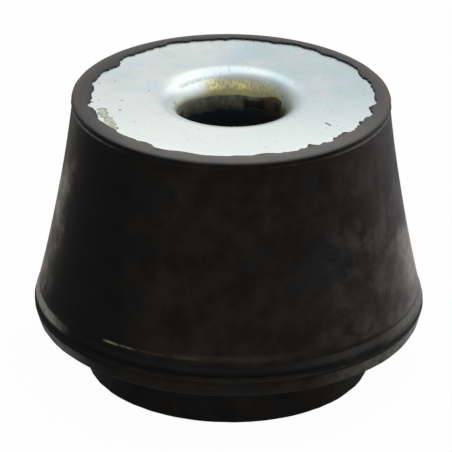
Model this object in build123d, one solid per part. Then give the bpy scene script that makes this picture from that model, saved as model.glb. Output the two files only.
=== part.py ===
from build123d import *
import math
import os

# Vibration damper: a tapered rubber mount with a drawn steel plate bonded into its top.
# It stands on z = 0 with its bolt hole along +Z. Sizes are millimetres.

# Bolt hole, a fine clearance round an M20 bolt
bore_diameter = 21.0
bore_mouth_bevel = 0.8

# Steel plate, drawn down into a short collar round the hole
plate_diameter = 61.0
plate_thickness = 2.5
bend_radius = 3.0
collar_depth = 8.5

# Spigot that centres the mount in its bracket
spigot_diameter = 58.0
spigot_height = 11.2
spigot_bevel = 0.35

# Rim: a lower band, a small ledge on the mould's parting line, and a bead above it
# The bead's face stands nearly upright, and its shoulder slopes in to a narrow neck
rim_diameter = 80.0
rim_foot_diameter = 78.6
rim_foot_bevel = 0.65
rim_band_height = 3.7
rim_step = 0.25
bead_height = 3.0
bead_face_height = 1.65
bead_face_draft = 0.13
neck_diameter = 77.7
neck_height = 1.3

# Tapered flank between the neck over the bead and the upper parting line, hollowed a little
flank_height = 38.6
flank_hollow = 0.6

# Rubber outside the plate's edge at the top corner, and how much less there is at the flank's head
edge_cover = 1.8
shoulder_draft = 0.15

# Flash ridge on the upper parting line, and the plain land above it
ridge_height = 0.18
ridge_width = 0.5
land_height = 1.15
top_corner_bevel = 0.25

# Crown of the lap: a flat crest over the plate's edge that falls to the top corner
crown_fall = 0.55
crest_margin = 0.8

# Lap of rubber over the plate, with a ragged inner edge that sits a little off the axis
lap_thickness = 0.3
lap_width = 1.75
lap_shift_x = 0.2
lap_edge_points = 120
# Each tongue is its angle, its reach inward and its half-width in degrees; a notch has a negative reach
lap_tongues = [
    (147.0, 1.0, 5.0),
    (177.0, 0.8, 6.0),
    (208.0, -0.7, 8.0),
    (22.0, 0.6, 4.0),
    (350.0, 0.6, 4.0),
    (321.0, 0.7, 5.0),
    (303.0, 0.6, 5.0),
    (64.0, -0.5, 5.0),
    (116.0, -0.6, 4.5),
    (242.0, -1.2, 4.5),
    (262.0, -0.5, 6.0),
]

# Radii that follow from the sizes above
bore_radius = bore_diameter / 2
collar_radius = bore_radius + plate_thickness
draw_radius = bend_radius + plate_thickness
plate_radius = plate_diameter / 2
spigot_radius = spigot_diameter / 2
rim_radius = rim_diameter / 2
rim_foot_place = rim_foot_diameter / 2
neck_radius = neck_diameter / 2
top_radius = plate_radius + edge_cover
shoulder_radius = top_radius - shoulder_draft
crest_radius = plate_radius - crest_margin
lap_edge_radius = plate_radius - lap_width

# Heights, from the base up
parting_z = spigot_height + rim_band_height
neck_z = parting_z + bead_height
flank_z = neck_z + neck_height
shoulder_z = flank_z + flank_height
corner_z = shoulder_z + land_height
crest_z = corner_z + crown_fall
plate_z = crest_z - lap_thickness
plate_under_z = plate_z - plate_thickness
collar_end_z = plate_z - collar_depth


# Solid turned about the bolt axis from a closed outline of radius and height
def turned(outline):
    return revolve(Plane.XZ * outline, Axis.Z)


# Outline with the corner nearest to a point cut off
def bevelled(outline, corner, length):
    return chamfer(outline.vertices().sort_by_distance(Vector(*corner))[0], length)


# Curve down the outside whose middle lies a little inside its chord
def hollow_curve(start, end, depth):
    run, rise = end[0] - start[0], end[1] - start[1]
    chord = math.hypot(run, rise)
    pull_x = (start[0] + end[0]) / 2 + 2 * depth * rise / chord
    pull_z = (start[1] + end[1]) / 2 - 2 * depth * run / chord
    return Bezier(start, (pull_x, pull_z), end)


# Bonded faces of steel and rubber, from the collar's end round the bend to the plate's top face
# The hidden inside of the bend is one flat slope that touches the bend radius
def bonded_edges():
    slope = bend_radius * (2 - math.sqrt(2))
    return [
        Line((bore_radius, collar_end_z), (collar_radius, collar_end_z)),
        Line((collar_radius, collar_end_z), (collar_radius, plate_under_z - slope)),
        Line((collar_radius, plate_under_z - slope), (collar_radius + slope, plate_under_z)),
        Line((collar_radius + slope, plate_under_z), (plate_radius, plate_under_z)),
        Line((plate_radius, plate_under_z), (plate_radius, plate_z)),
    ]


# Distance of the lap's ragged inner edge from its own centre, at an angle in degrees
def lap_reach(angle):
    reach = lap_edge_radius
    for place, inward, half_width in lap_tongues:
        off = (angle - place + 180) % 360 - 180
        reach -= inward * math.exp(-((off / half_width) ** 4))
    return reach


# The lap's ragged inner edge as a closed curve
def lap_edge(height):
    points = []
    for i in range(lap_edge_points):
        angle = 360 * i / lap_edge_points
        x = lap_shift_x + lap_reach(angle) * math.cos(math.radians(angle))
        y = lap_reach(angle) * math.sin(math.radians(angle))
        points.append((x, y, height))
    return Spline(*points, periodic=True)


# Steel plate, one drawn piece, with its top face divided into a bare part and a part under the lap
def make_plate():
    draw_x = bore_radius + draw_radius
    draw_z = plate_z - draw_radius
    outline = make_face(
        bonded_edges()
        + [
            Line((plate_radius, plate_z), (draw_x, plate_z)),
            CenterArc((draw_x, draw_z), draw_radius, 90, 90),
            Line((bore_radius, draw_z), (bore_radius, collar_end_z)),
        ]
    )
    plate = turned(outline).solid()
    top = plate.faces().filter_by(Axis.Z).sort_by(Axis.Z)[-1]
    window = make_face(lap_edge(plate_z))
    others = [face for face in plate.faces() if not face.is_same(top)]
    return Solid(Shell([*others, *(top & window).faces(), *(top - window).faces()]))


# Rubber body, moulded in one shot round the plate
def make_rubber():
    lap_root = (collar_radius + plate_radius) / 2
    bore_foot = (bore_radius, 0)
    spigot_foot = (spigot_radius, 0)
    spigot_root = (spigot_radius, spigot_height)
    rim_foot = (rim_foot_place, spigot_height)
    band_top = (rim_radius, parting_z)
    bead_foot = (rim_radius - rim_step, parting_z)
    bead_turn = (rim_radius - rim_step - bead_face_draft, parting_z + bead_face_height)
    neck_foot = (neck_radius, neck_z)
    flank_foot = (neck_radius, flank_z)
    ridge_foot = (shoulder_radius, shoulder_z - ridge_width / 2)
    ridge_crest = (shoulder_radius + ridge_height, shoulder_z)
    ridge_top = (shoulder_radius, shoulder_z + ridge_width / 2)
    top_corner = (top_radius, corner_z)
    crest = (crest_radius, crest_z)
    outline = make_face(
        bonded_edges()
        + [
            Line((plate_radius, plate_z), (lap_root, plate_z)),
            Line((lap_root, plate_z), (lap_root, crest_z)),
            Line((lap_root, crest_z), crest),
            TangentArc(crest, top_corner, tangent=(1, 0)),
            Line(top_corner, ridge_top),
            Line(ridge_top, ridge_crest),
            Line(ridge_crest, ridge_foot),
            hollow_curve(ridge_foot, flank_foot, flank_hollow),
            Line(flank_foot, neck_foot),
            Line(neck_foot, bead_turn),
            Line(bead_turn, bead_foot),
            Line(bead_foot, band_top),
            Line(band_top, rim_foot),
            Line(rim_foot, spigot_root),
            Line(spigot_root, spigot_foot),
            Line(spigot_foot, bore_foot),
            Line(bore_foot, (bore_radius, collar_end_z)),
        ]
    )
    outline = bevelled(outline, top_corner, top_corner_bevel)
    outline = bevelled(outline, rim_foot, rim_foot_bevel)
    outline = bevelled(outline, spigot_foot, spigot_bevel)
    outline = bevelled(outline, bore_foot, bore_mouth_bevel)
    window_foot = plate_z - plate_thickness / 2
    window = extrude(make_face(lap_edge(window_foot)), plate_thickness)
    return turned(outline) - window


os.makedirs("parts", exist_ok=True)
for name, solid in (("top_plate", make_plate()), ("rubber_body", make_rubber())):
    export_step(solid, f"parts/{name}.step")
    box = solid.bounding_box()
    print(name, "volume", round(solid.volume), "box", box.min, box.max)
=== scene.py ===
import math
from types import SimpleNamespace

import bmesh
import bpy
from mathutils import Matrix, Vector, noise


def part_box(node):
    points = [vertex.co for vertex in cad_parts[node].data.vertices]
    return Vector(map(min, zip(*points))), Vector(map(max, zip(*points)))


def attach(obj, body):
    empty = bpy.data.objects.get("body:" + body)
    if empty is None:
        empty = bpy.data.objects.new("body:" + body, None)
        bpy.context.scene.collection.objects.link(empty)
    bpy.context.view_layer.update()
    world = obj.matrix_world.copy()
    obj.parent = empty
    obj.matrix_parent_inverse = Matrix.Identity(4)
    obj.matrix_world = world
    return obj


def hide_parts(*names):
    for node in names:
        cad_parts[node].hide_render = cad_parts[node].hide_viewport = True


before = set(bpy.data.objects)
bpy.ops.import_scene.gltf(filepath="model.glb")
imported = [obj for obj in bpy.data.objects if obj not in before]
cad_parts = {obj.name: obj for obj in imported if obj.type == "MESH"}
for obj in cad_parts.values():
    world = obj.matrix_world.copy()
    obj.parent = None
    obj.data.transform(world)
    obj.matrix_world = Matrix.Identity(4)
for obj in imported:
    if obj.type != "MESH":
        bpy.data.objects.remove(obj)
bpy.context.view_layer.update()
print("frame loaded:", ", ".join(sorted(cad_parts)))

mm = 0.001
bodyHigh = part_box("rubber_body")[1]
plateLow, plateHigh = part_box("top_plate")


# A vertical half section in millimetres: corners joined in order, each with its rounding and a name for
# what the finished surface does there
class Section:
    def __init__(self):
        self.corners = []

    def add(self, radius, height, rounding=0.0, steps=4, tag=""):
        self.corners.append((radius, height, rounding, steps, tag))

    # an arc about a centre, from one angle to another, counted from the outward direction
    def arc(self, centre, reach, start, end, steps):
        for i in range(steps + 1):
            angle = math.radians(start + (end - start) * i / steps)
            self.add(centre[0] + reach * math.cos(angle), centre[1] + reach * math.sin(angle))

    # the outline with its corners rounded off, as (radius, height, name) in metres
    def outline(self):
        out = []
        for i, (r, z, rounding, steps, tag) in enumerate(self.corners):
            here = Vector((r, z))
            if rounding <= 0:
                out.append((r * mm, z * mm, tag))
                continue
            before = (Vector(self.corners[i - 1][:2]) - here).normalized()
            after = (Vector(self.corners[(i + 1) % len(self.corners)][:2]) - here).normalized()
            half = before.angle(after) / 2
            centre = here + (before + after).normalized() * rounding / math.sin(half)
            first = here + before * rounding / math.tan(half) - centre
            last = here + after * rounding / math.tan(half) - centre
            turned = first.angle_signed(last)
            for k in range(steps + 1):
                spoke = first.copy()
                spoke.rotate(Matrix.Rotation(-turned * k / steps, 2))
                out.append(((centre.x + spoke.x) * mm, (centre.y + spoke.y) * mm, tag))
        return out


# Smooth chance values round the bolt axis, the same at 0 and 360 degrees, from about -1 to 1
def aroundNoise(angle, waves, seed, height=0.0):
    spread = waves / (2 * math.pi)
    across, along = math.cos(angle) * spread, math.sin(angle) * spread
    return noise.noise(Vector((across + seed, along, height + seed * 0.37)))


# Closed ring solid spun from a section. Each named part of it is pushed out and up by its own function, and
# gets its own share of the painted shade along the torn edge.
def spinSection(name, outline, steps, shapes, paintedEdgeShades):
    bm = bmesh.new()
    tagLayer = bm.verts.layers.int.new("tag")
    paintedEdgeShadeLayer = bm.verts.layers.float.new("paintedEdgeShade")
    names = [""] + sorted(shapes)
    chain = []
    for radius, height, tag in outline:
        vert = bm.verts.new((radius, 0.0, height))
        vert[tagLayer] = names.index(tag)
        chain.append(vert)
    edges = [bm.edges.new((chain[i], chain[(i + 1) % len(chain)])) for i in range(len(chain))]
    bmesh.ops.spin(bm, geom=chain + edges, axis=(0, 0, 1), cent=(0, 0, 0), steps=steps,
                   angle=2 * math.pi, use_merge=True)
    bmesh.ops.recalc_face_normals(bm, faces=bm.faces)
    for vert in bm.verts:
        if vert[tagLayer]:
            angle = math.atan2(vert.co.y, vert.co.x)
            outward, upward = shapes[names[vert[tagLayer]]](angle, vert.co.z / mm)
            vert.co += Vector((outward * math.cos(angle), outward * math.sin(angle), upward)) * mm
            vert[paintedEdgeShadeLayer] = paintedEdgeShades.get(names[vert[tagLayer]], 0.0)
    for face in bm.faces:
        face.smooth = True
    mesh = bpy.data.meshes.new(name)
    bm.to_mesh(mesh)
    bm.free()
    piece = bpy.data.objects.new(name, mesh)
    bpy.context.scene.collection.objects.link(piece)
    return piece


# The steel plate with its drawn collar

plateShape = {
    "boreRadius": 10.5,
    "thickness": 2.5,
    "bendRadius": 3.0,
    "bendSteps": 8,
    "edgeRadius": 0.35,
    "flatRings": (0.05, 0.25, 0.5, 0.75),
    "lipSteps": 28,
    "spinSteps": 360,
}


def makeTopPlate():
    p = plateShape
    top, end, rim = plateHigh.z / mm, plateLow.z / mm, plateHigh.x / mm
    under = top - p["thickness"]
    collar = p["boreRadius"] + p["thickness"]
    drawRadius = p["bendRadius"] + p["thickness"]
    flatStart = p["boreRadius"] + drawRadius
    section = Section()
    section.add(p["boreRadius"], end)
    section.arc((flatStart, top - drawRadius), drawRadius, 180, 90, p["lipSteps"])
    for share in p["flatRings"]:
        section.add(flatStart + (rim - flatStart) * share, top)
    section.add(rim, top, p["edgeRadius"])
    section.add(rim, under)
    section.arc((collar + p["bendRadius"], under - p["bendRadius"]), p["bendRadius"], 90, 180, p["bendSteps"])
    section.add(collar, end)
    return spinSection("top_plate_drawn", section.outline(), p["spinSteps"], {}, {})


# The rubber body

rubberShape = {
    "spigotRadius": 29.0,
    "spigotHeight": 11.2,
    "spigotRootRadius": 0.4,
    "footRadius": 0.4,
    "rimFoot": 39.1,
    "rimFootRadius": 0.75,
    "bandDraft": 0.02,
    "bandFade": 0.9,
    "bandEdge": 0.32,
    "partingHeight": 14.9,
    "flashReach": 0.05,
    "flashDraft": 0.05,
    "flashThickness": 0.1,
    "beadStep": 0.27,
    "beadFootRise": 0.3,
    "beadFaceHeight": 1.5,
    "beadFaceDraft": 0.16,
    "beadRounding": 2.6,
    "neckRadius": 38.74,
    "neckHeight": 17.9,
    "neckRounding": 1.0,
    "flankFoot": 18.6,
    "flankFootRadius": 38.86,
    "flankHollow": 0.6,
    "flankRings": 24,
    "shoulderHeight": 57.8,
    "shoulderRadius": 32.15,
    "ridgeHeight": 0.2,
    "ridgeWidth": 0.32,
    "cornerHeight": 58.95,
    "cornerRadius": 32.3,
    "cornerRounding": 0.3,
    "crownRings": 9,
    "crestMargin": 0.8,
    "lapEdge": 28.76,
    "lapEdgeRounding": 0.24,
    "lapCentre": 0.16,
    "lapLift": 0.003,
    "lapRings": (("lapOuter", 0.6), ("lapMiddle", 0.3), ("lapInner", 0.12)),
    "lapGrip": 0.5,
    "filmThickness": 0.1,
    "filmTop": 7.4,
    "filmClimb": 0.7,
    "filmClimbAngle": 60,
    "filmClimbHalf": 15,
    "filmClimbSoft": 1.5,
    "filmLift": 0.003,
    "filmStart": 0.7,
    "filmWaves": ((0.45, 16, 5.5), (0.3, 44, 9.1)),
    "boreRings": 6,
    "mouthRadius": 1.0,
    "spinSteps": 720,
}

# Tongues and notches of the flash on the plate: angle in degrees, reach inward in mm, half-width in degrees
lapTongues = [
    (6, -0.15, 4), (22, 0.6, 3), (34, -0.35, 4.5), (48, 0.35, 3), (64, -0.6, 3), (72, 0.35, 3),
    (87, -0.45, 5), (115, -0.6, 3), (129, 0.3, 4), (138, -0.4, 2.5), (147, 1.15, 3.2), (153, 0.6, 4),
    (162, 0.35, 4), (175, 0.8, 4), (182, 0.4, 2.5), (190.5, -0.5, 2.4), (196, 0.5, 3), (206, -0.5, 3.5),
    (213, -0.3, 3), (226, -0.3, 6), (242, -1.6, 4), (249, -0.5, 3), (257, -0.4, 4), (265, -0.6, 6),
    (276, -0.3, 3), (283, 0.4, 3), (303.3, 0.6, 1.7), (308.5, 0.25, 1.1), (312, -0.25, 1.6), (316, 0.3, 1.3),
    (321, 0.55, 2.6), (326.5, -0.35, 3.5), (332, 0.45, 4), (334.3, 0.3, 1.3), (337, 0.25, 3.6),
    (343, -0.35, 2.5), (349.5, 0.65, 2.2), (356, -0.5, 3),
]
# Tears along that edge: waves round the ring, reach in mm and seed
lapTears = [(38, 0.34, 3.1), (92, 0.34, 7.7), (190, 0.24, 12.3), (330, 0.12, 5.2)]
# Where those tears are deeper or shallower: angle, share more and half-width in degrees
lapTearing = [(322, 1.2, 30), (262, -0.5, 26)]


# How far one angle lies from another in degrees, from -180 to 180
def awayFrom(angle, place):
    return (math.degrees(angle) - place + 180) % 360 - 180


# Flash tears in small steps, so a smooth wave is turned into terraces, each flat for a share at both its ends
def terraced(value, steps, flat=0.3):
    whole = math.floor(value * steps)
    part = value * steps - whole
    return (whole + min(max((part - flat) / (1 - 2 * flat), 0.0), 1.0)) / steps


# How far the lap's torn edge moves outward at an angle
def lapShift(angle):
    outward = rubberShape["lapCentre"] * math.cos(angle)
    for place, reach, half in lapTongues:
        outward -= reach * math.exp(-abs(awayFrom(angle, place) / half) ** 3)
    torn = 1.0
    for place, share, half in lapTearing:
        torn += share * math.exp(-abs(awayFrom(angle, place) / half) ** 4)
    for waves, reach, seed in lapTears:
        outward += reach * torn * terraced(aroundNoise(angle, waves, seed), 3)
    return outward


# Depth below the plate's face at which the flash on the collar's wall ends; it climbs at the back right
def filmDepth(angle):
    r = rubberShape
    off = abs(awayFrom(angle, r["filmClimbAngle"]))
    climb = r["filmClimb"] / (1 + math.exp((off - r["filmClimbHalf"]) / r["filmClimbSoft"]))
    depth = r["filmTop"] - climb
    for reach, waves, seed in r["filmWaves"]:
        depth += reach * aroundNoise(angle, waves, seed)
    return depth


def makeRubberBody():
    r = rubberShape
    top, rim = bodyHigh.z / mm, bodyHigh.x / mm
    plateTop, plateRim, collarEnd = plateHigh.z / mm, plateHigh.x / mm, plateLow.z / mm
    bore, bend = plateShape["boreRadius"], plateShape["bendRadius"]
    collar = bore + plateShape["thickness"]
    under = plateTop - plateShape["thickness"]
    crest = plateRim - r["crestMargin"]
    film = bore - r["filmThickness"]

    section = Section()
    # underside, spigot and the underside of the rim
    section.add(bore, 0, r["mouthRadius"], 6)
    section.add((bore + r["spigotRadius"]) / 2, 0)
    section.add(r["spigotRadius"], 0, r["footRadius"], 6, "spigotFoot")
    section.add(r["spigotRadius"], r["spigotHeight"], r["spigotRootRadius"])
    section.add(r["rimFoot"], r["spigotHeight"], r["rimFootRadius"], 6, "rimFoot")
    # lower band, the ledge with its flash at the mould's parting line, the bead and the neck above it
    parting = r["partingHeight"]
    band = rim - r["flashReach"] - r["flashDraft"]
    beadFoot = rim - r["beadStep"]
    section.add(band - r["bandDraft"], parting - r["bandFade"], tag="band")
    section.add(band, parting - r["bandEdge"], tag="band")
    section.add(band, parting - r["flashThickness"], tag="flashLower")
    section.add(band - r["flashDraft"], parting + 0.01, tag="flashUpper")
    section.add(beadFoot, parting + 0.02, 0.06, 2)
    section.add(beadFoot - 0.02, parting + r["beadFootRise"], tag="bead")
    section.add(beadFoot - r["beadFaceDraft"], parting + r["beadFaceHeight"], r["beadRounding"], 6, "bead")
    section.add(r["neckRadius"], r["neckHeight"], r["neckRounding"], 6)
    # hollowed flank, its last ring a little short of the ridge
    flankTop = r["shoulderHeight"] - r["ridgeWidth"] / 2
    flankRise = flankTop - r["flankFoot"]
    flankRun = r["shoulderRadius"] - r["flankFootRadius"]
    for i in range(r["flankRings"]):
        t = i / (r["flankRings"] + 0.3)
        hollow = 4 * r["flankHollow"] * t * (1 - t)
        section.add(r["flankFootRadius"] + flankRun * t - hollow, r["flankFoot"] + flankRise * t, tag="flank")
    # flash ridge on the upper parting line, and the land above it
    section.add(r["shoulderRadius"] + 0.02, flankTop - 0.35)
    section.add(r["shoulderRadius"], flankTop)
    section.add(r["shoulderRadius"] + r["ridgeHeight"], r["shoulderHeight"] - 0.04, tag="ridge")
    section.add(r["shoulderRadius"] + r["ridgeHeight"], r["shoulderHeight"] + 0.04, tag="ridge")
    section.add(r["shoulderRadius"] + 0.01, r["shoulderHeight"] + r["ridgeWidth"] / 2)
    section.add(r["shoulderRadius"] + 0.03, r["shoulderHeight"] + r["ridgeWidth"])
    section.add(r["cornerRadius"], r["cornerHeight"], r["cornerRounding"], 5, "corner")
    # crowned ring, the crest and the lap's torn inner edge
    fall = top - r["cornerHeight"]
    ringRun = r["cornerRadius"] - crest
    for i in range(1, r["crownRings"]):
        t = 1 - i / r["crownRings"]
        section.add(crest + ringRun * t, top - fall * t * t)
    section.add(crest, top)
    for tag, share in r["lapRings"]:
        section.add(r["lapEdge"] + (crest - r["lapEdge"]) * share, top, tag=tag)
    section.add(r["lapEdge"], top, r["lapEdgeRounding"], 3, "lapEdge")
    section.add(r["lapEdge"], plateTop + r["lapLift"], tag="lapEdge")
    # bonded faces round the plate
    section.add(r["lapEdge"] + r["lapGrip"], plateTop + r["lapLift"], tag="lapEdge")
    section.add(plateRim, plateTop)
    section.add(plateRim, under)
    section.arc((collar + bend, under - bend), bend, 90, 180, 5)
    section.add(collar, collarEnd)
    # thin flash that crept up the collar's wall, and the bore below it
    section.add(bore + r["filmLift"], collarEnd)
    section.add(bore + r["filmLift"], collarEnd + 0.4, tag="filmWall")
    section.add(bore - r["filmLift"], collarEnd + r["filmStart"], tag="filmTop")
    section.add(film + 0.02, collarEnd + 0.66, tag="filmTop")
    section.add(film, collarEnd + 0.55, tag="filmTop")
    section.add(film, collarEnd + 0.2, tag="filmWall")
    section.add(film + 0.02, collarEnd - 0.6)
    boreStart = collarEnd - 1.6
    for i in range(r["boreRings"]):
        section.add(bore, boreStart + (r["mouthRadius"] - boreStart) * i / r["boreRings"])

    def filmRise(angle):
        return plateTop - filmDepth(angle) - collarEnd - r["filmStart"]

    # how each named part is waved, worn or torn: outward and upward in mm, by chance values with so many
    # waves round the ring and a seed
    shapes = {
        "lapEdge": lambda a, z: (lapShift(a), 0.0),
        "lapInner": lambda a, z: (lapShift(a) * 0.92, -0.05 - 0.04 * abs(aroundNoise(a, 60, 2.2))),
        "lapMiddle": lambda a, z: (lapShift(a) * 0.66, -0.015),
        "lapOuter": lambda a, z: (lapShift(a) * 0.3, 0.0),
        "corner": lambda a, z: (-0.1 * abs(aroundNoise(a, 34, 11.4)), 0.0),
        "spigotFoot": lambda a, z: (-0.16 * abs(aroundNoise(a, 44, 13.7)), 0.0),
        "rimFoot": lambda a, z: (-0.22 * abs(aroundNoise(a, 56, 15.2)), 0.0),
        "ridge": lambda a, z: (0.12 * aroundNoise(a, 50, 1.3) + 0.09 * aroundNoise(a, 140, 4.9) - 0.04,
                               0.05 * aroundNoise(a, 30, 8.8)),
        "flashUpper": lambda a, z: (0.09 * aroundNoise(a, 70, 6.1) + 0.06 * aroundNoise(a, 200, 3.3),
                                    0.06 * aroundNoise(a, 40, 2.9)),
        "flashLower": lambda a, z: (0.09 * aroundNoise(a, 90, 7.3) - 0.02, 0.06 * aroundNoise(a, 40, 2.9)),
        "band": lambda a, z: (-0.14 * abs(aroundNoise(a, 26, 4.4, z))
                              - 0.1 * abs(aroundNoise(a, 90, 8.3)), 0.0),
        "bead": lambda a, z: (0.05 * aroundNoise(a, 20, 3.6), 0.06 * aroundNoise(a, 15, 9.4)),
        "flank": lambda a, z: (0.05 * aroundNoise(a, 9, 0.8, z * 0.06), 0.0),
        "filmTop": lambda a, z: (0.0, filmRise(a)),
        "filmWall": lambda a, z: (0.0, filmRise(a) * 0.5),
    }
    paintedEdgeShades = {"lapEdge": 1.0, "lapInner": 0.75, "lapMiddle": 0.25}
    return spinSection("rubber_body_moulded", section.outline(), r["spinSteps"], shapes, paintedEdgeShades)


topPlate = makeTopPlate()
print("plate spun:", len(topPlate.data.polygons), "faces")
rubberBody = makeRubberBody()
print("rubber spun:", len(rubberBody.data.polygons), "faces")


# Materials

def linear(hexColour):
    channels = [int(hexColour[i:i + 2], 16) / 255 for i in (1, 3, 5)]
    return tuple(c / 12.92 if c <= 0.04045 else ((c + 0.055) / 1.055) ** 2.4 for c in channels) + (1.0,)


# Adds one node. Its settings name properties and inputs, and the values after them fill the inputs that it
# then has, in order. A socket is linked, and a hex value becomes a colour. It gives back the first output.
def addNode(tree, kind, settings, *values):
    node = tree.nodes.new("ShaderNode" + kind)
    properties = node.bl_rna.properties
    for key in settings:
        if key in properties:
            setattr(node, key, settings[key])
    pairs = list(zip([socket for socket in node.inputs if socket.enabled], values))
    pairs += [(node.inputs[key], settings[key]) for key in settings if key not in properties]
    for socket, value in pairs:
        if isinstance(value, bpy.types.NodeSocket):
            tree.links.new(value, socket)
        else:
            socket.default_value = linear(value) if isinstance(value, str) else value
    return next((socket for socket in node.outputs if socket.enabled), None)


times, plus, minus = {"operation": "MULTIPLY"}, {"operation": "ADD"}, {"operation": "SUBTRACT"}
largest, turn = {"operation": "MAXIMUM"}, {"operation": "ARCTAN2"}
distance, scaled = {"operation": "DISTANCE"}, {"operation": "SCALE"}
smooth = {"interpolation_type": "SMOOTHSTEP"}
blend = {"data_type": "RGBA"}
cloud = {"noise_dimensions": "4D", "Detail": 4.0}
rugged = {"noise_dimensions": "4D", "Detail": 6.0, "Roughness": 0.68}


def newTree(name):
    material = bpy.data.materials.new(name)
    material.use_nodes = True
    material.node_tree.nodes.clear()
    return material, material.node_tree


# Places on the part in mm: the point, its x, y and z, the point at no height, its distance from the bolt
# axis, and its angle in degrees from -180 to 180
def partPlaces(tree):
    coord = addNode(tree, "TexCoord", {}).node.outputs["Object"]
    point = addNode(tree, "VectorMath", scaled, coord, 1 / mm)
    axes = addNode(tree, "SeparateXYZ", {}, point).node.outputs
    flat = addNode(tree, "CombineXYZ", {}, axes["X"], axes["Y"])
    radius = addNode(tree, "VectorMath", distance, flat, (0, 0, 0))
    turned = addNode(tree, "Math", turn, axes["Y"], axes["X"])
    angle = addNode(tree, "Math", times, turned, math.degrees(1))
    return SimpleNamespace(point=point, x=axes["X"], y=axes["Y"], z=axes["Z"], flat=flat, radius=radius,
                           angle=angle)


# A mask is a product. Each part of it is a share, or a value with its numbers as they stand in a look: with
# three the value has to lie in that stretch, with two or four it makes a soft step. No stretch crosses 180.
def mask(tree, *parts):
    shares = []
    for part in parts:
        if not isinstance(part, tuple):
            shares.append(part)
            continue
        value, numbers = part
        if len(numbers) == 3:
            start, end, soft = numbers
            shares.append(addNode(tree, "MapRange", smooth, value, start - soft, start + soft))
            numbers = (end - soft, end + soft, 1.0, 0.0)
        shares.append(addNode(tree, "MapRange", smooth, value, *numbers))
    product = shares[0]
    for share in shares[1:]:
        product = addNode(tree, "Math", times, product, share)
    return product


# Round marks about points, each given by its place and its radius in mm
def marks(tree, place, spots, softness):
    found = 0.0
    for *centre, reach in spots:
        away = addNode(tree, "VectorMath", distance, place, (*centre, 0.0)[:3])
        mark = mask(tree, (away, (reach * (1 - softness), reach * (1 + softness), 1.0, 0.0)))
        found = addNode(tree, "Math", largest, found, mark)
    return found


# Sizes, places and depths are in mm and angles in degrees. Three numbers are a stretch: its start, its end
# and how soft they are. Two are where a step starts and ends, and two more are the levels there. Only
# roughness, and bloomMottle in the rubber's look, are the two levels that chance goes between.
zincLook = {
    "cool": "#b7c8cb",
    "pale": "#d2d9d6",
    "blush": "#d4cad0",
    "green": "#c5d6cd",
    "sky": "#b4d0de",
    # painted highlight: the flat is lighter towards the front
    "paintedFrontLight": "#e6eeea",
    "grainDark": "#95a0a0",
    "gold": "#eae5b8",
    "goldDark": "#bbb792",
    "goldDeep": "#ccc48f",
    # painted glint in the throat
    "glint": "#fffb94",
    "primer": "#5b5b50",
    "primerLight": "#7a7b6c",
    "amber": "#5f4f1e",
    "brown": "#3e3424",
    "scorch": "#14110b",
    "stain": "#a29c7e",
    "stainEdge": "#4a4028",
    "spot": "#3c3f3a",
    # tints of the flat, each with its colour, the size of its patches and a seed
    "patchSize": 11.0,
    "patchTilt": 0.006,
    "patchStep": (0.34, 0.66),
    "tints": (("blush", 5.5, 5.0), ("sky", 6.5, 13.0), ("green", 5.0, 9.0)),
    "tintStep": (0.5, 0.72, 0.0, 0.45),
    "paintedFrontLightStep": (-27.0, 8.0, 0.9, 0.0),
    "grainSize": 0.5,
    "grainStep": (0.48, 0.74, 0.0, 0.1),
    "pitSpacing": 3.6,
    "pitChance": 0.62,
    "pitStep": (0.03, 0.06, 0.35, 0.0),
    "flatDepth": (0.01, 0.1, 1.0, 0.0),
    # gold and grey of the throat, and the painted glints in it
    "throatGrain": 0.34,
    "drawnOut": 0.45,
    "greyArc": (98.0, 146.0, 9.0),
    "greyDepth": (0.95, 1.5, 0.25),
    "greyGrain": (0.3, 0.65, 0.3, 0.85),
    "goldArc": (28.0, 118.0, 9.0),
    "goldDepth": (0.9, 2.2),
    "goldGrain": (0.3, 0.7),
    "deepDepth": (2.6, 4.2),
    "deepGrain": (0.3, 0.65, 0.4, 0.9),
    "deepArc": (108.0, 140.0, 1.0, 0.2),
    "glintArcs": ((98.0, 114.0, 7.0), (72.0, 88.0, 7.0)),
    "glintDepth": (1.9, 3.3, 0.7),
    "glintGrain": (0.43, 0.57),
    # dried primer
    "primerDepth": 4.4,
    "primerWave": 3.0,
    "primerClimb": (15.0, 24.0, 0.0, 1.5),
    "primerClimbEnd": (32.0, 68.0, 1.0, 0.0),
    "primerFall": (-110.0, -30.0, 0.0, 1.6),
    "primerFallEnd": (13.0, 21.0, 1.0, 0.0),
    "primerStep": (-0.1, 0.15),
    "blotchSize": 1.1,
    "blotchStep": (0.4, 0.7),
    "brownArc": (9.0, 56.0, 6.0),
    "fringeArc": (26.0, 58.0, 6.0),
    "fringeStep": (0.2, 1.1, 0.8, 0.0),
    "streakArc": (141.0, 151.0, 3.0),
    # scorched places: their arc, and how far below the primer's line they start and end
    "scorches": (((23.0, 34.0, 4.0), (1.0, 2.9, 0.35)), ((50.0, 76.0, 4.0), (0.75, 6.0, 0.35)),
                 ((157.0, 178.0, 4.0), (0.7, 6.0, 0.35))),
    "scorchShare": 0.92,
    # stain and spots
    "stainGrain": 1.1,
    "stainUneven": 0.9,
    "stainStep": (0.3, 0.5),
    "stainPatches": (0.38, 0.6, 0.35, 0.85),
    "outline": (0.3, 0.6, 0.14),
    "outlinePatches": (0.35, 0.6, 0.1, 0.8),
    "spotShare": 0.75,
    # gloss and relief
    "roughness": (0.21, 0.33),
    "throatRoughness": (1.0, 2.6, 0.0, 0.1),
    "primerRoughness": 0.3,
    "primerDull": 0.85,
    "stainDull": 0.7,
    "bump": 0.16,
    "bumpDepth": 0.02,
}

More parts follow.
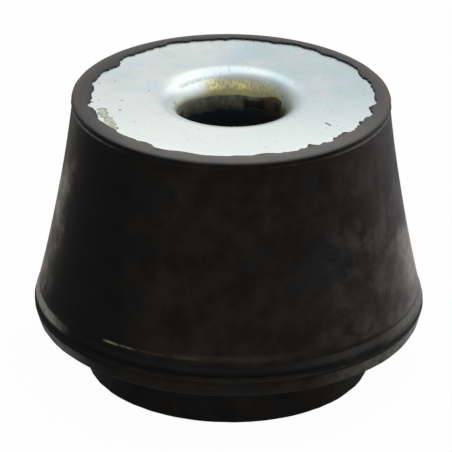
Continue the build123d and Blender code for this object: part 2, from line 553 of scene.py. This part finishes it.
# Blemishes on the plate as x, y and radius in mm
plateSpots = [(-28.2, -3.6, 0.42), (-23.6, 6.9, 0.2), (-26.8, 5.8, 0.2), (-26.6, -2.6, 0.2),
              (-22.3, -7.4, 0.3), (6.8, -24.3, 0.16), (-16.7, 2.3, 0.22)]
plateStain = [(-25.9, -7.4, 0.8), (-25.7, -8.9, 0.95), (-25.3, -10.3, 0.75), (-24.5, -11.6, 0.7),
              (-24.1, -13.0, 0.9), (-23.8, -14.6, 0.9), (-23.2, -16.3, 0.65)]
plateScratch = [(18.9, -12.4, 0.2), (19.15, -12.75, 0.24), (19.45, -13.1, 0.24), (19.75, -13.45, 0.26)]


# Passivation tints in soft patches, with a painted highlight that makes the plate lighter towards the front,
# a fine crystalline grain and a few pits
def plateTints(tree, place, depth, grain):
    k = zincLook
    patches = addNode(tree, "TexNoise", {**cloud, "Scale": 1 / k["patchSize"], "W": 1.0}, place.point)
    tilt = addNode(tree, "Math", times, place.x, k["patchTilt"])
    patches = addNode(tree, "Math", minus, patches, tilt)
    tone = addNode(tree, "Mix", blend, mask(tree, (patches, k["patchStep"])), k["cool"], k["pale"])
    for colour, patchSize, seed in k["tints"]:
        tint = addNode(tree, "TexNoise", {**cloud, "Scale": 1 / patchSize, "W": seed}, place.point)
        tone = addNode(tree, "Mix", blend, mask(tree, (tint, k["tintStep"])), tone, k[colour])
    # painted highlight, lighter towards the front
    tone = addNode(tree, "Mix", blend, mask(tree, (place.y, k["paintedFrontLightStep"])), tone, k["paintedFrontLight"])
    tone = addNode(tree, "Mix", blend, mask(tree, (grain, k["grainStep"])), tone, k["grainDark"])
    pits = addNode(tree, "TexVoronoi", {"Scale": 1 / k["pitSpacing"]}, place.point)
    chance = addNode(tree, "SeparateXYZ", {}, pits.node.outputs["Color"])
    chosen = addNode(tree, "Math", {"operation": "GREATER_THAN"}, chance, k["pitChance"])
    pitted = mask(tree, (pits, k["pitStep"]), (depth, k["flatDepth"]), chosen)
    return addNode(tree, "Mix", blend, pitted, tone, k["spot"])


# Dull gold in the throat, in grains drawn out down the wall, with painted glints in two places at the back,
# and an arc of grey grain above it on the left
def throatGold(tree, place, depth, grains, tone):
    k = zincLook
    grey = mask(tree, (place.angle, k["greyArc"]), (depth, k["greyDepth"]), (grains, k["greyGrain"]))
    tone = addNode(tree, "Mix", blend, grey, tone, k["grainDark"])
    gold = mask(tree, (place.angle, k["goldArc"]), (depth, k["goldDepth"]))
    speckled = addNode(tree, "Mix", blend, mask(tree, (grains, k["goldGrain"])), k["goldDark"], k["gold"])
    tone = addNode(tree, "Mix", blend, gold, tone, speckled)
    deep = mask(tree, (depth, k["deepDepth"]), (grains, k["deepGrain"]), (place.angle, k["deepArc"]))
    tone = addNode(tree, "Mix", blend, deep, tone, k["goldDeep"])
    # painted glints of two small bright panes, broken up by the grains
    left, right = [mask(tree, (place.angle, arc)) for arc in k["glintArcs"]]
    paintedGlints = addNode(tree, "Math", plus, left, right)
    paintedGlints = mask(tree, paintedGlints, (depth, k["glintDepth"]), (grains, k["glintGrain"]))
    return gold, addNode(tree, "Mix", blend, paintedGlints, tone, k["glint"])


# Dried primer below a sharp wavy line, that climbs and is scorched brown at the back right
def driedPrimer(tree, place, depth, blotches, tone):
    k = zincLook
    waves = {**cloud, "Scale": 1 / k["primerWave"], "Roughness": 0.6, "W": 4.0}
    waves = addNode(tree, "MapRange", {}, addNode(tree, "TexNoise", waves, place.point), 0.0, 1.0, -0.5, 0.5)
    climb = mask(tree, (place.angle, k["primerClimb"]), (place.angle, k["primerClimbEnd"]))
    fall = mask(tree, (place.angle, k["primerFall"]), (place.angle, k["primerFallEnd"]))
    climb = addNode(tree, "Math", minus, climb, fall)
    line = addNode(tree, "Math", plus, depth, addNode(tree, "Math", plus, waves, climb))
    line = addNode(tree, "Math", minus, line, k["primerDepth"])
    mottled = mask(tree, (blotches, k["blotchStep"]))
    coat = addNode(tree, "Mix", blend, mottled, k["primer"], k["primerLight"])
    coat = addNode(tree, "Mix", blend, mask(tree, (place.angle, k["brownArc"])), coat, k["brown"])
    fringe = mask(tree, (place.angle, k["fringeArc"]), (line, k["fringeStep"]))
    coat = addNode(tree, "Mix", blend, fringe, coat, k["amber"])
    streaks = mask(tree, (place.angle, k["streakArc"]), mottled)
    coat = addNode(tree, "Mix", blend, streaks, coat, k["amber"])
    for arc, below in k["scorches"]:
        scorch = mask(tree, (place.angle, arc), (line, below), k["scorchShare"])
        coat = addNode(tree, "Mix", blend, scorch, coat, k["scorch"])
    primer = mask(tree, (line, k["primerStep"]))
    return primer, addNode(tree, "Mix", blend, primer, tone, coat)


# A dried stain with broken brown outlines by the lap on the left, some spots and a scratch on the flat
def plateMarks(tree, place, blotches, tone):
    k = zincLook
    dried = addNode(tree, "TexNoise", {**rugged, "Scale": 1 / k["stainGrain"], "W": 8.0}, place.point)
    uneven = addNode(tree, "MapRange", {}, dried, 0.0, 1.0, -k["stainUneven"], k["stainUneven"])
    edge = addNode(tree, "Math", plus, marks(tree, place.flat, plateStain, softness=0.8), uneven)
    stain = mask(tree, (edge, k["stainStep"]), (dried, k["stainPatches"]))
    tone = addNode(tree, "Mix", blend, stain, tone, k["stain"])
    outlined = mask(tree, (edge, k["outline"]), (blotches, k["outlinePatches"]))
    tone = addNode(tree, "Mix", blend, outlined, tone, k["stainEdge"])
    flecks = mask(tree, marks(tree, place.flat, plateSpots, softness=0.4), k["spotShare"])
    flecks = addNode(tree, "Math", largest, flecks, marks(tree, place.flat, plateScratch, softness=0.3))
    stained = addNode(tree, "Math", largest, stain, outlined)
    return stained, addNode(tree, "Mix", blend, flecks, tone, k["spot"])


# Electroplated zinc with a clear passivation: a pale, slightly blue metal that spreads its highlights, with
# faint pink, blue and green tints from the film. Where the bonding primer thinned out in the throat it is a
# dull gold, and the dried primer itself is an olive-grey band below that, scorched brown on the right.
def makeZinc():
    k = zincLook
    material, tree = newTree("zinc plated steel, clear passivated")
    place = partPlaces(tree)
    depth = addNode(tree, "Math", minus, plateHigh.z / mm, place.z)
    around = addNode(tree, "Math", times, place.angle, math.radians(plateShape["boreRadius"]))
    drawn = addNode(tree, "CombineXYZ", {}, around, addNode(tree, "Math", times, place.z, k["drawnOut"]))
    grain = addNode(tree, "TexNoise", {**cloud, "Scale": 1 / k["grainSize"], "W": 3.0}, place.point)
    grains = addNode(tree, "TexNoise", {**cloud, "Scale": 1 / k["throatGrain"], "W": 2.0}, drawn)
    blotches = addNode(tree, "TexNoise", {**cloud, "Scale": 1 / k["blotchSize"], "W": 6.0}, drawn)
    tone = plateTints(tree, place, depth, grain)
    gold, tone = throatGold(tree, place, depth, grains, tone)
    primer, tone = driedPrimer(tree, place, depth, blotches, tone)
    stained, tone = plateMarks(tree, place, blotches, tone)

    rough = addNode(tree, "MapRange", {}, grain, 0.0, 1.0, *k["roughness"])
    rough = addNode(tree, "Math", plus, rough, mask(tree, (depth, k["throatRoughness"])))
    rough = addNode(tree, "Math", plus, rough, mask(tree, primer, k["primerRoughness"]))
    dull = mask(tree, primer, k["primerDull"])
    dull = addNode(tree, "Math", largest, dull, mask(tree, stained, k["stainDull"]))
    metal = addNode(tree, "Math", minus, 1.0, dull)
    relief = addNode(tree, "Math", plus, grain, mask(tree, grains, gold))
    bump = addNode(tree, "Bump", {"Strength": k["bump"], "Distance": k["bumpDepth"] * mm, "Height": relief})
    shader = addNode(tree, "BsdfPrincipled", {"Base Color": tone, "Metallic": metal, "Roughness": rough,
                                              "Normal": bump})
    addNode(tree, "OutputMaterial", {}, shader)
    return material


# Its numbers are written as in the zinc's look
rubberLook = {
    "dark": "#120f0d",
    "brown": "#201b14",
    "cold": "#151617",
    "bore": "#20282b",
    "bloom": "#5e5e60",
    "bloomWarm": "#64605b",
    "earth": "#5c4b38",
    "handled": "#574d4e",
    "shade": "#080a0b",
    "dust": "#71624c",
    # painted reflection on the left flank
    "streak": "#98938b",
    # painted highlight on the rim and the ridge
    "paintedSheen": "#7d7b76",
    "chalk": "#8b8680",
    # residue, partly a painted glint of the crease
    "residueAndGlint": "#8d8c62",
    "residueAndGlintBrown": "#553a28",
    "residueAndGlintGreen": "#5a5d3a",
    # painted shade of the lap's torn edge
    "paintedEdgeShade": "#1b202b",
    # painted shade on the rim and on the land above the ridge
    "hollow": "#070606",
    "speck": "#8d8a84",
    # compound, and its painted shade at the front left
    "mottleSize": 6.0,
    "mottleStep": (0.35, 0.65),
    "coldSize": 9.0,
    "coldStep": (0.5, 0.66),
    "shadeArc": (-165.0, -122.0, 12.0),
    "shadeShare": 0.85,
    "boreStep": (10.9, 11.6, 1.0, 0.0),
    # crown
    "crownSoft": 0.3,
    "bloomInset": 0.2,
    "bloomOuter": 32.05,
    "bloomSoft": 0.75,
    "bloomMottle": (0.6, 1.3),
    "bloomFront": (-28.0, 2.0, 1.0, 0.22),
    "bloomLeft": (-30.0, -12.0, 0.58, 1.0),
    "bloomPatch": 5.0,
    "bloomStep": (0.42, 0.6),
    "backStep": (-14.0, 2.0),
    "earthRing": (30.9, 32.7, 0.5),
    "earthShare": 0.35,
    # flank
    "flank": (18.6, 58.1, 0.6),
    "handledSize": 5.5,
    "handledStep": (0.4, 0.66, 0.0, 0.4),
    "handledSide": (13.0, 35.0),
    "handledHeight": (43.0, 51.0, 1.2, 0.6),
    "tearSize": 7.0,
    "tearUp": 5.0,
    "tearAlong": 9.0,
    "rubSlant": 0.2,
    "rubFront": (-12.0, -1.0),
    "rubSide": (31.0, 36.5),
    "rubBack": (1.0, 14.0, 1.0, 0.0),
    "rubHeight": (20.5, 34.0, 2.0),
    "chalkSize": 1.8,
    "chalkStep": (0.3, 0.7, 0.3, 0.85),
    "dustSide": (-30.0, -12.0, 1.0, 0.0),
    "dustLow": (20.0, 36.0, 2.5, 0.0),
    "dustSize": 3.2,
    "dustStep": (0.35, 0.66, 0.0, 0.85),
    "dustFront": (-13.0, -4.5),
    "dustBack": (4.0, 30.0, 1.0, 0.0),
    "dustHeight": (45.0, 51.0, 1.0, 0.45),
    "streakFront": (-12.5, -5.0),
    "streakBack": (0.0, 14.0, 1.0, 0.0),
    "streakHeight": (34.5, 45.5, 2.5),
    "streakStep": (0.3, 0.6, 0.1, 0.6),
    # rim and ridge, with their painted highlights and painted shade
    "rimGrain": 1.3,
    "rimStep": (0.3, 0.66, 0.35, 1.0),
    "shadedHeight": (15.6, 17.8, 0.25),
    "shadedWidth": (-32.0, 23.0, 4.0),
    "shadedShare": 0.9,
    "faceHeight": (14.9, 16.3, 0.15),
    "faceSide": (24.0, 32.0, 0.0, 0.85),
    "neckHeight": (17.8, 18.4, 0.15),
    "neckSide": (31.0, 36.0, 0.0, 0.7),
    # painted shade in blotches on the land and on the ledge
    "grooveShadeHeights": ((58.1, 58.85, 0.15), (14.72, 15.4, 0.12)),
    "grooveShadeArc": (-62.0, -16.0, 6.0),
    "grooveShadeStep": (0.42, 0.56, 0.25, 1.0),
    "shoulderLift": (30.5, 36.0, 0.0, 0.9),
    "shoulderFoot": (15.1, 15.8),
    "shoulderTop": (17.4, 17.9, 1.0, 0.0),
    "shoulderSide": (30.0, 38.2, 0.0, 0.7),
    "stripHeight": (18.7, 19.9, 0.3),
    "stripWidth": (-10.0, 12.0, 7.0),
    "stripShare": 0.1,
    # residue
    "bitSize": 0.9,
    "bitStep": (0.3, 0.55),
    # gloss and relief
    "roughness": (0.26, 0.5),
    "mattHeight": (14.5, 15.5, 0.35),
    "mattShare": 0.25,
    "specular": 0.25,
    "poreSize": 0.28,
    "poreShare": 0.4,
    "swellSize": 2.4,
    "bump": 0.4,
    "bumpDepth": 0.06,
}

# Zones of the rim and the ridge with a painted highlight: the stretch of height, and how the highlight
# changes along x
rimSheens = [((16.1, 17.6, 0.3), (-38.6, -31.5, 1.5, 0.0)), ((11.5, 13.8, 0.25), (-37.5, -25.0, 0.8, 0.02)),
             ((11.5, 14.3, 0.3), (14.0, 38.0, 0.0, 0.62)), ((57.5, 58.05, 0.15), (-31.5, -20.0, 0.6, 0.0)),
             ((57.5, 58.05, 0.15), (17.0, 31.0, 0.0, 0.6))]

# Specks of dust as x, y, z and radius in mm
rubberSpecks = [(3.0, -33.7, 47.9, 0.16), (3.2, -36.0, 34.6, 0.16), (1.4, -39.9, 12.6, 0.18)]

# Residue at the foot of the flank, partly a painted glint along the crease: its colour, its stretches of
# angle and of height, and its share
rubberResidueAndGlints = [("residueAndGlint", (-129.5, -125.0, 1.5), (18.68, 19.08, 0.14), 0.62),
                 ("residueAndGlint", (-123.5, -119.5, 1.5), (18.79, 19.11, 0.14), 0.42),
                 ("residueAndGlintBrown", (-118.0, -109.0, 1.5), (18.8, 19.2, 0.14), 0.3),
                 ("residueAndGlintGreen", (-106.0, -99.5, 1.5), (18.85, 19.45, 0.14), 0.25)]


# Near black compound with brown and cold patches, with painted shade at the front left, and greyer in the
# bore
def compoundTone(tree, place, mottle):
    k = rubberLook
    tone = addNode(tree, "Mix", blend, mask(tree, (mottle, k["mottleStep"])), k["dark"], k["brown"])
    colds = addNode(tree, "TexNoise", {**cloud, "Scale": 1 / k["coldSize"], "W": 4.0}, place.point)
    tone = addNode(tree, "Mix", blend, mask(tree, (colds, k["coldStep"])), tone, k["cold"])
    # painted shade: darker at the front left, where the room is dark
    shade = mask(tree, (place.angle, k["shadeArc"]), k["shadeShare"])
    tone = addNode(tree, "Mix", blend, shade, tone, k["shade"])
    return addNode(tree, "Mix", blend, mask(tree, (place.radius, k["boreStep"])), tone, k["bore"])


# Wax bloom on the crown, strongest at the front and thin at the corner. Behind, the corner is earthy, and
# painted shade darkens the torn edge.
def waxBloom(tree, place, mottle, tone):
    k = rubberLook
    inner, corner = rubberShape["lapEdge"] + k["bloomInset"], rubberShape["cornerHeight"]
    crown = mask(tree, (place.z, (corner - k["crownSoft"], corner + k["crownSoft"])))
    film = mask(tree, crown, (place.radius, (inner, k["bloomOuter"], k["bloomSoft"])),
                addNode(tree, "MapRange", {}, mottle, 0.0, 1.0, *k["bloomMottle"]),
                (place.y, k["bloomFront"]), (place.x, k["bloomLeft"]))
    warms = addNode(tree, "TexNoise", {**cloud, "Scale": 1 / k["bloomPatch"], "W": 2.0}, place.point)
    bloom = addNode(tree, "Mix", blend, mask(tree, (warms, k["bloomStep"])), k["bloom"], k["bloomWarm"])
    tone = addNode(tree, "Mix", blend, film, tone, bloom)
    behind = mask(tree, (place.y, k["backStep"]))
    outer = mask(tree, (place.radius, k["earthRing"]), behind, crown, k["earthShare"])
    tone = addNode(tree, "Mix", blend, outer, tone, k["earth"])
    # painted shade along the lap's torn edge, strongest behind
    paintedEdgeShade = addNode(tree, "Attribute", {"attribute_name": "paintedEdgeShade"}).node.outputs["Fac"]
    return addNode(tree, "Mix", blend, mask(tree, paintedEdgeShade, behind), tone, k["paintedEdgeShade"])


# Hand marks and a chalky rub at the right of the flank, and at its left brown dust, that thins out behind,
# with a painted reflection as a pale streak half way up
def flankDust(tree, place, tone):
    k = rubberLook
    onFlank = mask(tree, (place.z, k["flank"]))
    handled = addNode(tree, "TexNoise", {**rugged, "Scale": 1 / k["handledSize"], "W": 12.0}, place.point)
    handled = mask(tree, (handled, k["handledStep"]), (place.x, k["handledSide"]),
                   (place.z, k["handledHeight"]), onFlank)
    tone = addNode(tree, "Mix", blend, handled, tone, k["handled"])

    tears = addNode(tree, "TexNoise", {**rugged, "Scale": 1 / k["tearSize"], "W": 9.0}, place.point)
    up = addNode(tree, "MapRange", {}, tears, 0.0, 1.0, -k["tearUp"], k["tearUp"])
    ragged = addNode(tree, "Math", plus, place.z, up)
    slant = addNode(tree, "Math", plus, place.y, addNode(tree, "Math", times, place.z, k["rubSlant"]))
    chalks = addNode(tree, "TexNoise", {**rugged, "Scale": 1 / k["chalkSize"], "W": 3.0}, place.point)
    rub = mask(tree, (slant, k["rubFront"]), (place.x, k["rubSide"]), (place.y, k["rubBack"]),
               (ragged, k["rubHeight"]), (chalks, k["chalkStep"]))
    tone = addNode(tree, "Mix", blend, rub, tone, k["chalk"])

    left = mask(tree, (place.x, k["dustSide"]))
    along = addNode(tree, "MapRange", {}, tears, 0.0, 1.0, -k["tearAlong"], k["tearAlong"])
    behind = addNode(tree, "Math", plus, place.y, along)
    behind = addNode(tree, "Math", plus, behind, mask(tree, (place.z, k["dustLow"])))
    dusts = addNode(tree, "TexNoise", {**rugged, "Scale": 1 / k["dustSize"], "W": 5.5}, place.point)
    dusty = mask(tree, left, (behind, k["dustFront"]), (behind, k["dustBack"]), (dusts, k["dustStep"]),
                 (place.z, k["dustHeight"]), onFlank)
    tone = addNode(tree, "Mix", blend, dusty, tone, k["dust"])
    # painted reflection: a pale streak at the left edge of the flank
    streak = mask(tree, left, (behind, k["streakFront"]), (behind, k["streakBack"]),
                  (ragged, k["streakHeight"]), (dusts, k["streakStep"]))
    return addNode(tree, "Mix", blend, streak, tone, k["streak"])


# Dust and painted light on the rim and the ridge. Painted highlights, broken up by grit, lie on the bead's
# shoulder, on the lower band and on the ridge at the sides, and brown dust lies in a thin strip at the foot
# of the flank. Painted shade keeps the bead's face dark, and so the neck on the right and, in blotches, a
# part of the land above the ridge and of the ledge.
def rimDustAndPaintedLight(tree, place, tone):
    k = rubberLook
    grit = addNode(tree, "TexNoise", {**rugged, "Scale": 1 / k["rimGrain"], "W": 14.0}, place.point)
    patchy = mask(tree, (grit, k["rimStep"]))
    # painted shade: the bead's shoulder and face at the front, the face and the neck on the right, and
    # blotches on the land above the ridge and on the ledge on the right
    shaded = mask(tree, (place.z, k["shadedHeight"]), (place.x, k["shadedWidth"]), k["shadedShare"])
    face = mask(tree, (place.z, k["faceHeight"]), (place.x, k["faceSide"]))
    neck = mask(tree, (place.z, k["neckHeight"]), (place.x, k["neckSide"]))
    land, ledge = [mask(tree, (place.z, height)) for height in k["grooveShadeHeights"]]
    grooveShade = addNode(tree, "Math", plus, land, ledge)
    grooveShade = mask(tree, grooveShade, (place.angle, k["grooveShadeArc"]), (grit, k["grooveShadeStep"]))
    for part in (face, neck, grooveShade):
        shaded = addNode(tree, "Math", largest, shaded, part)
    tone = addNode(tree, "Mix", blend, shaded, tone, k["hollow"])
    # painted highlights on the bead's shoulder, the lower band and the ridge at the sides
    lifted = addNode(tree, "Math", minus, place.z, mask(tree, (place.x, k["shoulderLift"])))
    sheenZones = [((lifted, k["shoulderFoot"]), (place.z, k["shoulderTop"]), (place.x, k["shoulderSide"]))]
    sheenZones += [((place.z, height), (place.x, side)) for height, side in rimSheens]
    for zone in sheenZones:
        tone = addNode(tree, "Mix", blend, mask(tree, *zone, patchy), tone, k["paintedSheen"])
    strip = mask(tree, (place.z, k["stripHeight"]), (place.x, k["stripWidth"]), patchy, k["stripShare"])
    return addNode(tree, "Mix", blend, strip, tone, k["dust"])


# Natural rubber, compression moulded and black with carbon: nearly matt and very dark, with a soft sheen only
# where it is seen at a low angle. Wax has bloomed to a thin grey film on the top ring, and the flank and the
# rim carry dust, a chalky rub and a little residue with a painted glint. Its colour also holds painted shade
# at the front left, along the lap's torn edge and on the rim, and painted highlights on the rim, the ridge
# and the left flank.
def makeRubber():
    k = rubberLook
    material, tree = newTree("natural rubber, compression moulded")
    place = partPlaces(tree)
    mottle = addNode(tree, "TexNoise", {**rugged, "Scale": 1 / k["mottleSize"], "W": 1.0}, place.point)
    tone = compoundTone(tree, place, mottle)
    tone = waxBloom(tree, place, mottle, tone)
    tone = flankDust(tree, place, tone)
    tone = rimDustAndPaintedLight(tree, place, tone)
    bits = addNode(tree, "TexNoise", {**cloud, "Scale": 1 / k["bitSize"], "W": 6.0}, place.point)
    # residue, partly painted as the glint of the crease
    for colour, arc, height, share in rubberResidueAndGlints:
        residueAndGlintMask = mask(tree, (bits, k["bitStep"]), share, (place.angle, arc), (place.z, height))
        tone = addNode(tree, "Mix", blend, residueAndGlintMask, tone, k[colour])
    tone = addNode(tree, "Mix", blend, marks(tree, place.point, rubberSpecks, softness=0.5), tone, k["speck"])

    # the foot of the bead's face is rougher than the rest
    rough = addNode(tree, "MapRange", {}, mottle, 0.0, 1.0, *k["roughness"])
    matt = mask(tree, (place.z, k["mattHeight"]), k["mattShare"])
    rough = addNode(tree, "Math", plus, rough, matt)
    pores = {**cloud, "Scale": 1 / k["poreSize"], "Roughness": 0.6, "W": 7.0}
    pores = addNode(tree, "Math", times, addNode(tree, "TexNoise", pores, place.point), k["poreShare"])
    swells = addNode(tree, "TexNoise", {**cloud, "Scale": 1 / k["swellSize"], "W": 8.0}, place.point)
    relief = addNode(tree, "Math", plus, pores, swells)
    bump = addNode(tree, "Bump", {"Strength": k["bump"], "Distance": k["bumpDepth"] * mm, "Height": relief})
    shader = addNode(tree, "BsdfPrincipled", {"Base Color": tone, "Roughness": rough, "Normal": bump,
                                              "Specular IOR Level": k["specular"]})
    addNode(tree, "OutputMaterial", {}, shader)
    return material


topPlate.data.materials.append(makeZinc())
rubberBody.data.materials.append(makeRubber())
print("materials made")

pieces = ((topPlate, "top_plate", "zinc_plated_steel"), (rubberBody, "rubber_body", "moulded_rubber"))
for piece, node, slot in pieces:
    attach(piece, "root")
    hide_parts(node)


# Studio: a pale floor, soft light and the camera

# Levels are 1 for white. Arcs and rises are in degrees, the table's radii in mm and other lengths in metres.
# leftAcross and leftBack are the x and y of a direction. Stretches and steps are written as in the looks.
studio = {
    "floorSize": 6.0,
    "floorColour": "#f4f4f4",
    "floorWhite": 0.97,
    "tableDark": 0.12,
    "tableLeft": 0.5,
    "tableLeftArc": (80.0, 147.0, 9.0),
    "tableLeftStep": (85.0, 120.0, 1.0, 0.25),
    "tableRight": 0.85,
    "tableRightArc": (-4.0, 80.0, 12.0),
    "tableRightStep": (55.0, 120.0, 1.0, 0.3),
    "tableStart": (32.0, 60.0),
    "ambient": 0.75,
    "brightRise": (-2.0, 22.0, 0.5, 1.0),
    "windowGlow": 0.6,
    "tallArc": (-29.0, 66.0, 8.0),
    "tallRise": (17.0, 27.0),
    "highArc": (-15.0, 132.0, 14.0),
    "highRise": (32.0, 46.0),
    "dimRise": (0.0, 45.0, 0.12, 0.45),
    "overheadRise": (64.0, 88.0, 0.0, 0.3),
    "leftRise": (42.0, 58.0, 0.0, 0.25),
    "leftAcross": (-0.3, -0.1, 1.0, 0.0),
    "leftBack": (-0.15, 0.08),
    "paneGlow": 0.55,
    "paneArcs": ((-62.0, -46.0, 5.0), (-121.0, -105.0, 5.0)),
    "paneRise": (29.0, 44.0, 5.0),
    "litTop": (78.0, 90.0, 1.0, 0.0),
    "litStart": (-52.0, -24.0),
    "litEnd": (100.0, 150.0, 1.0, 0.0),
    "litLean": (20.0, 70.0, 0.0, 20.0),
    "softboxAngle": 25.0,
    "softboxRise": 42.0,
    "softboxDistance": 0.9,
    "softboxSize": 0.7,
    "softboxGlow": 1.4,
    "elevation": 25.6,
    "roll": 0.7,
    "distance": 1.0,
    "focalPixels": 4895.0,
    "imagePixels": 452,
    "targetHeight": 0.03019,
    "targetPixel": 229.67,
}


# Which kind of ray asks: a camera or glass, that see plain white, or a mirror, that sees the dim room
def rayKinds(tree):
    path = addNode(tree, "LightPath", {}).node.outputs
    direct = addNode(tree, "Math", largest, path["Is Camera Ray"], path["Is Transmission Ray"])
    return direct, path["Is Glossy Ray"]


# Pale table. Mirrors see it dim in front and on the left, where the room is dark, and also near the object
# and far off.
def makeFloor():
    s = studio
    bm = bmesh.new()
    bmesh.ops.create_grid(bm, x_segments=1, y_segments=1, size=s["floorSize"] / 2)
    mesh = bpy.data.meshes.new("floor")
    bm.to_mesh(mesh)
    bm.free()
    floor = bpy.data.objects.new("floor", mesh)
    bpy.context.scene.collection.objects.link(floor)

    material, tree = newTree("matt white table")
    direct, mirror = rayKinds(tree)
    place = partPlaces(tree)
    left = mask(tree, (place.angle, s["tableLeftArc"]), (place.radius, s["tableLeftStep"]), s["tableLeft"])
    right = mask(tree, (place.angle, s["tableRightArc"]), (place.radius, s["tableRightStep"]),
                 s["tableRight"])
    level = mask(tree, addNode(tree, "Math", plus, left, right), (place.radius, s["tableStart"]))
    level = addNode(tree, "Math", plus, level, s["tableDark"])
    glow = addNode(tree, "Emission", {}, (1, 1, 1, 1), addNode(tree, "Mix", {}, mirror, 1.0, level))
    white = addNode(tree, "Math", times, direct, s["floorWhite"])
    share = addNode(tree, "Math", {**plus, "use_clamp": True}, mirror, white)
    matt = addNode(tree, "BsdfDiffuse", {}, s["floorColour"])
    addNode(tree, "OutputMaterial", {}, addNode(tree, "MixShader", {}, share, matt, glow))
    mesh.materials.append(material)


# The world is plain white to the eye and even for soft light. Mirrors see a room that is lit behind the
# object and on its right, with a tall window there and a high one behind, and dim in front and on the left,
# where two small panes light the throat.
def makeWorld():
    s = studio
    world = bpy.data.worlds.new("studio")
    bpy.context.scene.world = world
    world.use_nodes = True
    world.cycles.sampling_method = "NONE"  # so that each kind of ray finds its own level
    tree = world.node_tree
    tree.nodes.clear()
    direct, mirror = rayKinds(tree)
    axes = addNode(tree, "SeparateXYZ", {}, addNode(tree, "TexCoord", {})).node.outputs
    turned = addNode(tree, "Math", turn, axes["Y"], axes["X"])
    angle = addNode(tree, "Math", times, turned, math.degrees(1))
    slope = addNode(tree, "Math", {"operation": "ARCSINE"}, axes["Z"])
    rise = addNode(tree, "Math", times, slope, math.degrees(1))

    tall = mask(tree, (angle, s["tallArc"]), (rise, s["tallRise"]))
    high = mask(tree, (angle, s["highArc"]), (rise, s["highRise"]))
    windows = mask(tree, addNode(tree, "Math", largest, tall, high), s["windowGlow"])
    full = addNode(tree, "Math", plus, mask(tree, (rise, s["brightRise"])), windows)

    first, second = [mask(tree, (angle, arc)) for arc in s["paneArcs"]]
    panes = mask(tree, addNode(tree, "Math", plus, first, second), (rise, s["paneRise"]), s["paneGlow"])
    upper = mask(tree, (rise, s["leftRise"]), (axes["X"], s["leftAcross"]), (axes["Y"], s["leftBack"]))
    dim = mask(tree, (rise, s["dimRise"]))
    for part in (mask(tree, (rise, s["overheadRise"])), upper, panes):
        dim = addNode(tree, "Math", plus, dim, part)

    leant = addNode(tree, "Math", minus, angle, addNode(tree, "MapRange", {}, rise, *s["litLean"]))
    lit = mask(tree, (rise, s["litTop"]), (angle, s["litStart"]), (leant, s["litEnd"]))
    room = addNode(tree, "Mix", {}, lit, dim, full)
    soft = addNode(tree, "Mix", {}, mirror, s["ambient"], room)
    level = addNode(tree, "Mix", {}, direct, soft, 1.0)
    addNode(tree, "OutputWorld", {}, addNode(tree, "Background", {}, (1, 1, 1, 1), level))


# Square lamp that faces the object, its power worked out from how bright its face looks. Mirrors see the
# world's windows in its place.
def makeSoftbox():
    s = studio
    lamp = bpy.data.lights.new("softbox", "AREA")
    lamp.shape = "SQUARE"
    lamp.size = s["softboxSize"]
    lamp.energy = s["softboxGlow"] * math.pi * s["softboxSize"] ** 2
    holder = bpy.data.objects.new("softbox", lamp)
    holder.visible_glossy = False
    turned, rise = math.radians(s["softboxAngle"]), math.radians(s["softboxRise"])
    away = Vector((math.cos(rise) * math.cos(turned), math.cos(rise) * math.sin(turned), math.sin(rise)))
    holder.location = away * s["softboxDistance"] + Vector((0, 0, plateHigh.z))
    holder.rotation_euler = (-away).to_track_quat("-Z", "Y").to_euler()
    bpy.context.scene.collection.objects.link(holder)


def makeCamera():
    s = studio
    e, roll = math.radians(s["elevation"]), math.radians(s["roll"])
    side = Vector((1, 0, 0))
    level = Vector((0, math.sin(e), math.cos(e)))
    back = Vector((0, -math.cos(e), math.sin(e)))
    right = side * math.cos(roll) + level * math.sin(roll)
    up = level * math.cos(roll) - side * math.sin(roll)
    pixel = s["distance"] / s["focalPixels"]
    aim = Vector((0, 0, s["targetHeight"])) - right * (s["targetPixel"] - s["imagePixels"] / 2) * pixel
    data = bpy.data.cameras.new("camera")
    data.lens = s["focalPixels"] / s["imagePixels"] * data.sensor_width
    data.clip_start, data.clip_end = 0.05, 20.0
    camera = bpy.data.objects.new("camera", data)
    camera.rotation_mode = "QUATERNION"
    camera.rotation_quaternion = Matrix((right, up, back)).transposed().to_quaternion()
    camera.location = aim + back * s["distance"]
    bpy.context.scene.collection.objects.link(camera)
    bpy.context.scene.camera = camera


makeFloor()
makeWorld()
makeSoftbox()
makeCamera()
bpy.context.scene.view_settings.view_transform = "Standard"
print("studio made")
